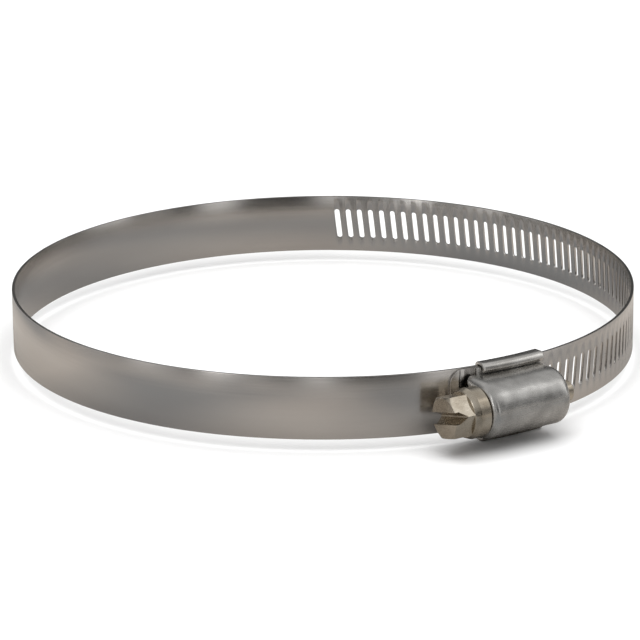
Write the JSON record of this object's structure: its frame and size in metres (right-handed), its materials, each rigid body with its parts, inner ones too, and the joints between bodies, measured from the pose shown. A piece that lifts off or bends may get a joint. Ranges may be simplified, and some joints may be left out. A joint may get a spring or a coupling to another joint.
{
  "type": "hose clamp",
  "caption": "Worm-drive hose clamp: a slotted steel band closes round a hose as the hex screw in its housing is turned.",
  "frame": {"origin": "centre of the hose, at the middle of the band's width", "axes": "+Z along the hose, -Y towards the housing, screw along X with its head towards -X"},
  "size_m": [0.13, 0.1416, 0.016],
  "materials": {
    "band_steel": "bright rolled stainless steel",
    "saddle_steel": "satin stainless steel",
    "cover_steel": "satin drawn stainless steel",
    "screw_steel": "warm nickel-grey turned steel"
  },
  "bodies": {
    "housing": {"saddle": "saddle_steel", "cover": "cover_steel"},
    "screw": {"screw": "screw_steel"},
    "band_tail": {"band_tail": "band_steel"},
    "band_flex_01": {"band_flex_01": "band_steel"},
    "band_flex_02": {"band_flex_02": "band_steel"},
    "band_flex_03": {"band_flex_03": "band_steel"},
    "band_flex_04": {"band_flex_04": "band_steel"},
    "band_flex_05": {"band_flex_05": "band_steel"},
    "band_flex_06": {"band_flex_06": "band_steel"},
    "band_flex_07": {"band_flex_07": "band_steel"},
    "band_flex_08": {"band_flex_08": "band_steel"},
    "band_captive_end": {"band_captive_end": "band_steel"}
  },
  "joints": [
    {"name": "screw_turn", "type": "hinge", "parent": "housing", "child": "screw", "pos_m": [0, -0.07094, -0.0006], "axis": [1, 0, 0], "range_deg": [0, 3960]},
    {"name": "tail_feed", "type": "hinge", "parent": "housing", "child": "band_tail", "pos_m": [0, -0.00359, 0], "axis": [0, 0, -1], "range_deg": [0, 25.63]},
    {"name": "bend_01", "type": "hinge", "parent": "band_tail", "child": "band_flex_01", "pos_m": [0.04429, -0.04726, 0], "axis": [0, 0, 1], "range_deg": [0, 2.03]},
    {"name": "bend_02", "type": "hinge", "parent": "band_flex_01", "child": "band_flex_02", "pos_m": [0.05565, -0.0324, 0], "axis": [0, 0, 1], "range_deg": [0, 4.27]},
    {"name": "bend_03", "type": "hinge", "parent": "band_flex_02", "child": "band_flex_03", "pos_m": [0.06028, 0.02265, 0], "axis": [0, 0, 1], "range_deg": [0, 2.38]},
    {"name": "bend_04", "type": "hinge", "parent": "band_flex_03", "child": "band_flex_04", "pos_m": [0.01991, 0.06124, 0], "axis": [0, 0, 1], "range_deg": [0, 3.25]},
    {"name": "bend_05", "type": "hinge", "parent": "band_flex_04", "child": "band_flex_05", "pos_m": [-0.03515, 0.05396, 0], "axis": [0, 0, 1], "range_deg": [0, 4.91]},
    {"name": "bend_06", "type": "hinge", "parent": "band_flex_05", "child": "band_flex_06", "pos_m": [-0.06407, 0.00653, 0], "axis": [0, 0, 1], "range_deg": [0, 3.26]},
    {"name": "bend_07", "type": "hinge", "parent": "band_flex_06", "child": "band_flex_07", "pos_m": [-0.04531, -0.04576, 0], "axis": [0, 0, 1], "range_deg": [0, 2.13]},
    {"name": "bend_08", "type": "hinge", "parent": "band_flex_07", "child": "band_flex_08", "pos_m": [-0.03076, -0.05687, 0], "axis": [0, 0, 1], "range_deg": [0, 1.69]},
    {"name": "bend_09", "type": "hinge", "parent": "band_flex_08", "child": "band_captive_end", "pos_m": [-0.0101, -0.06428, 0], "axis": [0, 0, 1], "range_deg": [0, 1.77]}
  ],
  "couplings": [
    {"joint": "tail_feed", "follows": "screw_turn", "ratio": 0.0064681},
    {"joint": "bend_01", "follows": "screw_turn", "ratio": 0.00050667},
    {"joint": "bend_02", "follows": "screw_turn", "ratio": 0.001073},
    {"joint": "bend_03", "follows": "screw_turn", "ratio": 0.00059553},
    {"joint": "bend_04", "follows": "screw_turn", "ratio": 0.00081601},
    {"joint": "bend_05", "follows": "screw_turn", "ratio": 0.0012341},
    {"joint": "bend_06", "follows": "screw_turn", "ratio": 0.00081826},
    {"joint": "bend_07", "follows": "screw_turn", "ratio": 0.00053326},
    {"joint": "bend_08", "follows": "screw_turn", "ratio": 0.00042238},
    {"joint": "bend_09", "follows": "screw_turn", "ratio": 0.00044188}
  ]
}
